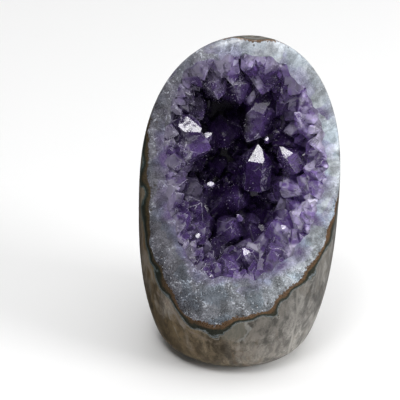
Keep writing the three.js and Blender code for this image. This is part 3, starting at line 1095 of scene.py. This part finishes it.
def violet_fringe(white, place, hollow, deep, lumps, fine):
    """Towards the hollow the white turns lavender, and then to cut violet crystals with pale outlines; deep
    in the hollow it is near black, partly painted shade.
    """
    wandered = wandering(place, 130, 0.006)
    own = axes_of(cells(wandered, 135, output="Color"))["Y"]
    inward = plus(hollow, uneven(place, 110, 0.009, 3), between(own, 0.0, 1.0, -0.0025, 0.0045))
    inward = minus(inward, times(rich_patches(place), 0.0022))
    colour = tinted(between(inward, 0.005, 0.0005), white, LAVENDER_TINT)
    violet = blend(between(fine, 0.3, 0.72, 0.0, 0.35), VIOLET, VIOLET_SPECK)
    core = between(cells(wandered, 135), 0.62, 0.25, 0.15, 1.0)
    colour = marked(colour, violet, core, between(inward, 0.0025, -0.0025))
    outline = between(cell_edges(wandered, 135), 0.035, 0.0, 0, 0.5)
    colour = marked(colour, PALE_VEIL, outline, between(lumps, 0.48, 0.56), between(inward, 0.003, 0.001))
    # Deep in the hollow the wall turns near black: partly deep violet, partly painted shade
    return marked(colour, DEEP_VIOLET_AND_SHADE, between(deep, 0.002, 0.009), between(hollow, 0.004, 0.001))


def quartz_material():
    material, tree, shader = blank_material("milky_quartz")
    place = object_place(tree)
    rim, hollow, deep = attributes(tree, "rim", "hollow", "deep")
    height = axes_of(place)["Z"]
    lumps = noise(place, 150, 3, 0.6)
    fine = noise(place, 2000, 3, 0.75)
    white = white_quartz(place, height, rim, lumps, fine)
    colour = violet_fringe(white, place, hollow, deep, lumps, fine)

    # A ragged fringe of rust along the rim
    ragged = plus(rim, uneven(place, 120, 0.0045), uneven(place, 1100, 0.0026, 3))
    ragged = minus(ragged, between(left_to_right(place), 0.3, 0.1, 0.0, 0.0008))
    stained = shaded(RUST, fine, (0.3, 0.7), (0.6, 1.5))
    stained = tinted(left_stain(place, height), stained, OLIVE_TINT)
    colour = blend(between(ragged, -0.0008, -0.0003), colour, stained)
    feed(shader, {"Base Color": colour, "Roughness": between(fine, 0.3, 0.8, 0.2, 0.42),
                  "IOR": QUARTZ_IOR, "Coat Weight": 0.25, "Coat Roughness": 0.08,
                  "Normal": bumped(fine, 0.0002, 0.3)})
    return material


# Painted shade under the roof: the violet is darker higher up the hollow. How much depth a step up the slope
# counts for, and where that starts
ROOF_SHADE = 0.19
LIGHTEST_AT = -0.01

# The darkest place, high on the left: a pocket painted near black as shade
POCKET = tuple(on_face(-0.0057, 0.031, 0.01))
POCKET_PAINTED_SHADE = (0.006, 0.003, 0.012)

# The amethyst: its violets from the tips to the deepest roots, the darkest partly painted shade, and the
# white marks on its faces
PALE_AMETHYST = (0.52, 0.5, 0.62)
MID_AMETHYST = (0.34, 0.29, 0.445)
RICH_AMETHYST = (0.105, 0.063, 0.192)
DARK_AND_SHADED_AMETHYST = (0.018, 0.008, 0.04)
MILKY_AMETHYST = (0.38, 0.355, 0.455)
CUT_HALO = (0.3, 0.28, 0.37)
LEFT_TINT = (1.02, 0.96, 1.14)
RIGHT_TINT = (0.95, 0.95, 1.00)
WISP = (0.62, 0.6, 0.72)
FROST = (0.62, 0.62, 0.72)
GROWTH_LINE = (0.66, 0.64, 0.76)
# The worn edges' white, partly a painted highlight
WORN_AND_HIGHLIT = (0.75, 0.72, 0.84)
AMETHYST_CLEAR = 0.5
AMETHYST_DENSITY = 120
AMETHYST_ABSORBS = (0.5, 0.29, 0.72, 1)

# Fine straight lines on its faces, by which way they are turned and drawn out
STRIAE_TURN = (0.5, 0.9, 0.4)
STRIAE_SCALE = (5, 1, 1)

GRAIN_COLOURS = [
    (0.35, (0.1, 0.08, 0.14)),
    (0.5, (0.32, 0.3, 0.38)),
    (0.65, (0.62, 0.62, 0.68)),
]


def side_light(place, patch):
    """Painted light: the violet is lighter on the right and half way up, and darker in the right-hand rich
    patches.
    """
    height = axes_of(place)["Z"]
    light = between(left_to_right(place, -0.03, 0.026), 0.0, 1.0, 0.61, 2.25)
    middle = reckon("MINIMUM", between(height, 0.046, 0.058), between(height, 0.094, 0.08))
    light = times(light, between(middle, 0, 1, 1.0, 1.32))
    patch_shade = times(patch, left_to_right(place, -0.012, 0.02))
    return times(light, between(patch_shade, 0, 0.8, 1.0, 0.58))


def amethyst_material():
    material, tree, shader = blank_material("amethyst")
    place = object_place(tree)
    hollow, deep, depth_and_roof_shade = attributes(tree, "hollow", "deep", "depth_and_roof_shade")
    tone, frost, edge = attributes(tree, "tone", "frost", "edge")
    cloud = noise(place, 170, 3, 0.6)
    fine = noise(place, 1700, 4, 0.75)
    patch = rich_patches(place)

    # Violets by how far in from the wall a place lies, how deep it is, and its crystal's own tone; painted
    # shade darkens them with depth and towards the roof, less so on the right
    inward = plus(hollow, uneven(place, 170, 0.006, 3), times(tone, 0.009))
    inward = minus(inward, times(patch, 0.0095))
    inward = minus(inward, between(deep, 0.001, 0.005, 0, 0.0055))
    colour = blend(between(inward, 0.0015, -0.003), PALE_AMETHYST, MID_AMETHYST)
    colour = marked(colour, RICH_AMETHYST, between(inward, -0.003, -0.009))
    shade = plus(depth_and_roof_shade, times(tone, -0.008))
    shade = minus(shade, between(left_to_right(place, 0.008, 0.026), 0, 1, 0, 0.006))
    colour = marked(colour, DARK_AND_SHADED_AMETHYST, between(shade, 0.006, 0.019))
    patches = noise(wandering(place, 120, 0.005), 210, 2, 0.5)
    colour = marked(colour, RICH_AMETHYST, between(patches, 0.52, 0.42, 0, 0.9), between(shade, 0.014, 0.004))

    # Painted light, lighter on the right and half way up, clouds, the dark pocket's painted shade and milky
    # patches
    light = side_light(place, patch)
    colour = vector("SCALE", colour, Scale=light)
    colour = shaded(colour, noise(place, 360, 3, 0.6), (0.34, 0.66), (0.8, 1.2))
    colour = vector("MULTIPLY", colour, blend(left_to_right(place), LEFT_TINT, RIGHT_TINT))
    # Painted shade: near black in the pocket
    pocket_shade = between(vector("DISTANCE", place, POCKET, output=1), 0.01, 0.0065)
    colour = marked(colour, POCKET_PAINTED_SHADE, pocket_shade)
    milky = vector("SCALE", MILKY_AMETHYST, Scale=light)
    milks = noise(wandering(place, 90, 0.008), 150, 2)
    colour = marked(colour, milky, between(milks, 0.5, 0.62, 0, 0.75), between(shade, 0.016, 0.006),
                    between(patch, 0.2, 0.8, 1.0, 0.15))

    # Pale wisps, fewer the deeper a crystal stands and where painted shade falls
    shallow = times(between(depth_and_roof_shade, 0.018, 0.007, 0.2, 1.0), between(pocket_shade, 1.0, 0.3))
    wisps = noise(wandering(place, 160, 0.006), 420, 3, 0.6, 0.8)
    colour = marked(colour, WISP, between(wisps, 0.545, 0.6), between(cloud, 0.4, 0.6), shallow,
                    between(frost, 0.25, 0.55), 0.45)
    colour = shaded(colour, wisps, (0.3, 0.55), (0.55, 1.12))

    # Crystals that the ground face cuts through are granular, with pale halos
    granular = shaded(MID_AMETHYST, fine, (0.3, 0.7), (0.45, 0.85))
    granular = blend(between(inward, 0.0005, -0.0025), granular, colour)
    halos = cells(wandering(place, 220, 0.004), 230)
    granular = marked(granular, CUT_HALO, between(halos, 0.36, 0.7, 0, 0.6))
    colour = marked(colour, granular, between(deep, 0.0003, 0.0001))

    # Frost on the faces, a web of growth lines, and worn edges, partly a painted highlight
    frosted = times(between(fine, 0.48, 0.66), between(cloud, 0.46, 0.62), between(frost, 0.35, 0.75))
    frosted = times(frosted, shallow)
    colour = marked(colour, FROST, frosted, 0.7)
    web = between(cell_edges(wandering(place, 240, 0.005), 260), 0.035, 0.01, 0.0, 0.55)
    colour = marked(colour, GROWTH_LINE, web, between(noise(place, 105, 2), 0.53, 0.6),
                    between(fine, 0.4, 0.55), shallow)
    # Worn edges, whitened partly as a painted highlight along them
    worn_and_highlit = times(edge, between(cloud, 0.43, 0.56), between(noise(place, 700, 2), 0.42, 0.54), shallow)
    colour = marked(colour, WORN_AND_HIGHLIT, worn_and_highlit, 0.8)

    # Clear faces shine, and are rougher where they are worn, frosted or lined
    striae = between(noise(stretched(place, STRIAE_SCALE, STRIAE_TURN), 420, 2), 0.5, 0.56, 0.0, 0.12)
    rough = between(fine, 0.55, 0.75, 0.03, 0.3)
    for other in (times(worn_and_highlit, 0.4), striae, times(frosted, 0.6)):
        rough = reckon("MAXIMUM", rough, other)
    swells = plus(noise(place, 260, 1), times(fine, 0.06))
    feed(shader, {"Base Color": colour, "Roughness": rough, "IOR": QUARTZ_IOR,
                  "Transmission Weight": AMETHYST_CLEAR, "Normal": bumped(swells, 0.0006, 0.52)})
    absorbing = {"Color": AMETHYST_ABSORBS, "Density": AMETHYST_DENSITY}
    absorb = make(tree, "ShaderNodeVolumeAbsorption", absorbing)
    feed(tree.nodes["Material Output"], {"Volume": absorb.outputs[0]})
    return material


def grain_material():
    material, tree, shader = blank_material("quartz_grains")
    own = noise(object_place(tree), 900, 2, 0.5)
    feed(shader, {"Base Color": ramp(own, GRAIN_COLOURS), "Roughness": between(own, 0.3, 0.7, 0.1, 0.3),
                  "IOR": QUARTZ_IOR})
    return material


def lay_distances(mesh):
    """Each point's distance outside the bed and the hollow, its depth, and its depth and height together for
    painted shade under the roof.
    """
    points = points_of(mesh)
    deep = depth_of(points)
    above = np.maximum((points - FACE_FOOT) @ UPSLOPE - HOLLOW["upslope"], LIGHTEST_AT)
    rim = outside(bed_level, points)
    hollow = outside(hollow_level, points)
    for name, values in dict(rim=rim, hollow=hollow, deep=deep, depth_and_roof_shade=deep + ROOF_SHADE * above).items():
        mesh.attributes.new(name, "FLOAT", "POINT").data.foreach_set("value", values)


def piece(name, mesh, material, node, smooth=False):
    lay_distances(mesh)
    mesh.materials.clear()
    mesh.materials.append(material)
    mesh.polygons.foreach_set("use_smooth", [smooth] * len(mesh.polygons))
    if smooth:
        mesh.set_sharp_from_angle(angle=SHARP_FROM)
    made = bpy.data.objects.new(name, mesh)
    bpy.context.scene.collection.objects.link(made)
    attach(made, "root")
    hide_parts(node)


def build_druse():
    stone = whole_stone()
    bed = to_mesh("bed", blob(PLAIN_BALL, on_face(0, BED_MIDDLE, 0), bed_level))
    wall = to_mesh("wall", blob(FINE_BALL, middle_of(HOLLOW), wall_level))
    roots = to_mesh("roots", blob(PLAIN_BALL, middle_of(ROOTS), roots_level))

    cup = joined(stone.copy(), "DIFFERENCE", [bed])
    crust = joined(joined(stone.copy(), "INTERSECT", [bed]), "DIFFERENCE", [wall])
    stone.transform(Matrix.Translation(-FACE_SINK * OUTWARD))
    grown = [*main_crystals(), *glinting_crystals(), *satellite_crystals()]
    grown.extend([*spread_crystals(), *rim_crystals(), *small_crystals()])
    crystals = joined(grown[0], "UNION", grown[1:])
    for limit in (stone, bed, roots):
        crystals = joined(crystals, "INTERSECT", [limit])

    piece("rock_cup", cup, rock_material(), "stone_body", smooth=True)
    piece("quartz_crust", crust, quartz_material(), "crystal_crust", smooth=True)
    piece("amethyst_crystals", crystals, amethyst_material(), "crystal_crust")
    piece("quartz_grains", quartz_grains(crystals), grain_material(), "crystal_crust")


# The studio: where its lights aim, and its pale floor, just under the stone
LIGHTS_AIM = (0, 0, 0.06)
FLOOR_HALF = 3
FLOOR_DROP = 0.0001
PALE_FLOOR = (0.9, 0.9, 0.9, 1)
WHITE = (1, 1, 1, 1)


def soft_light(name, at, size, power, mirrored=True):
    light = bpy.data.lights.new(name, "AREA")
    light.shape = "RECTANGLE"
    light.size, light.size_y = size
    light.energy = power
    lamp = bpy.data.objects.new(name, light)
    bpy.context.scene.collection.objects.link(lamp)
    lamp.location = at
    lamp.rotation_euler = (Vector(LIGHTS_AIM) - Vector(at)).to_track_quat("-Z", "Y").to_euler()
    lamp.visible_glossy = mirrored


def studio():
    scene = bpy.context.scene
    scene.view_settings.view_transform = "Standard"
    world = bpy.data.worlds.new("studio")
    scene.world = world
    world.use_nodes = True
    tree = world.node_tree
    way = axes_of(make(tree, "ShaderNodeTexCoord").outputs["Generated"])
    glow = times(between(way["Z"], 0.1, 0.4, 0.8, 0.12),
                 between(way["X"], -0.8, 0.6, 0.38, 1.15),
                 between(way["Z"], -0.02, 0.02, 0.1, 1.0))
    feed(tree.nodes["Background"], {"Color": WHITE, "Strength": glow})
    soft_light("ceiling", (0.1, 0.1, 1.7), (2, 2), 27)
    soft_light("key", KEY_LIGHT, (0.24, 0.24), 2.4)
    soft_light("right_window", (0.7, -0.25, 0.35), (0.3, 0.6), 4.5, mirrored=False)

    floor_shape = bmesh.new()
    bmesh.ops.create_grid(floor_shape, x_segments=1, y_segments=1, size=FLOOR_HALF)
    bmesh.ops.translate(floor_shape, verts=floor_shape.verts, vec=(0, 0, -FLOOR_DROP))
    floor = bpy.data.objects.new("floor", to_mesh("floor", floor_shape))
    scene.collection.objects.link(floor)
    material, _, shader = blank_material("pale_floor")
    feed(shader, {"Base Color": PALE_FLOOR, "Roughness": 0.7})
    floor.data.materials.append(material)
    floor.visible_glossy = False
    floor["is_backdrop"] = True


def camera():
    scene = bpy.context.scene
    back = Vector(TO_CAMERA)
    right = Vector((1, 0, 0))
    up = back.cross(right)
    focal = CAMERA_REACH / METRES_PER_PIXEL
    view = bpy.data.cameras.new("camera")
    view.sensor_width = SENSOR
    view.lens = focal * SENSOR / PHOTO_SIZE
    view.clip_start = CLIP_START
    made = bpy.data.objects.new("camera", view)
    scene.collection.objects.link(made)
    made.location = LOOK_AT + back * CAMERA_REACH
    aside = (PHOTO_SIZE / 2 - PHOTO_AXIS[0]) / focal
    above = (PHOTO_AXIS[1] - PHOTO_SIZE / 2) / focal
    made.rotation_euler = (right * aside + up * above - back).to_track_quat("-Z", "Y").to_euler()
    scene.camera = made


build_druse()
studio()
camera()

corners = [[list(corner) for corner in box] for box in (cad_box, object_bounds())]
